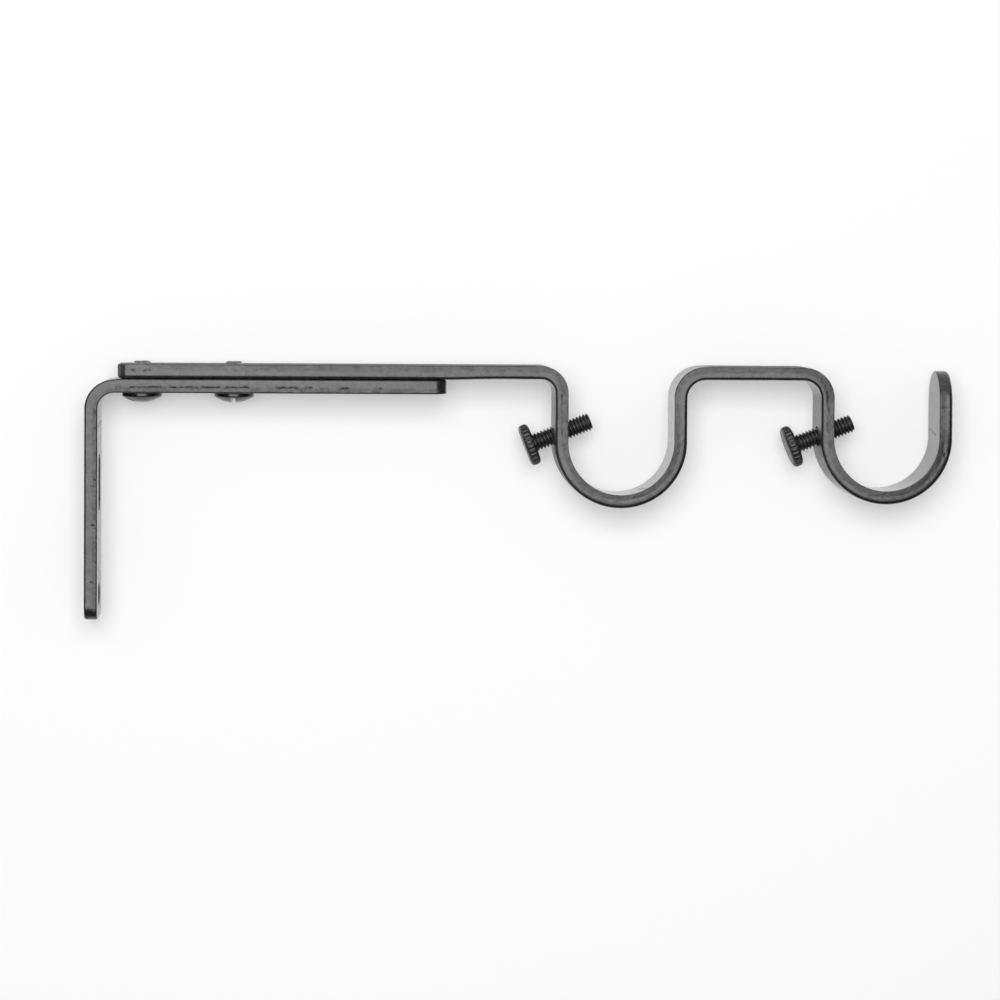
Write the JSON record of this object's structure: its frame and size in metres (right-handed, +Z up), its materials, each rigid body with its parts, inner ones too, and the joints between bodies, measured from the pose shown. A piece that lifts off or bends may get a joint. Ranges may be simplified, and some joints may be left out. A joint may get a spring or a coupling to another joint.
{
  "type": "curtain pole bracket",
  "caption": "Curtain pole bracket of bent steel strap: an L-shaped wall bracket carries a sliding arm with U-shaped pole cradles and knurled thumbscrews.",
  "frame": {"origin": "centre of the round wall hole, on the plane of the wall", "axes": "+X points away from the wall along the arm, +Z is up, and Y = 0 is the middle of the straps"},
  "size_m": [0.1964, 0.015, 0.0584],
  "materials": {
    "strap": "satin black coating on steel strap",
    "screws": "black finish on turned steel, slightly worn on the threads"
  },
  "bodies": {
    "wall_side": {"wall_bracket": "strap"},
    "pole_side": {"cradle_arm": "strap", "adjusting_screw_inner": "screws", "adjusting_screw_outer": "screws"},
    "inner_clamp": {"thumbscrew_inner": "screws"},
    "outer_clamp": {"thumbscrew_outer": "screws"}
  },
  "joints": [
    {"name": "arm_slide", "type": "slide", "parent": "wall_side", "child": "pole_side", "axis": [1, 0, 0], "range_m": [0, 0.0405]},
    {"name": "inner_thumbscrew_travel", "type": "slide", "parent": "pole_side", "child": "inner_clamp", "axis": [0.9304, 0, 0.3665], "range_m": [-0.0066, 0.0025]},
    {"name": "outer_thumbscrew_travel", "type": "slide", "parent": "pole_side", "child": "outer_clamp", "axis": [0.9304, 0, 0.3665], "range_m": [-0.0062, 0.0029]}
  ]
}
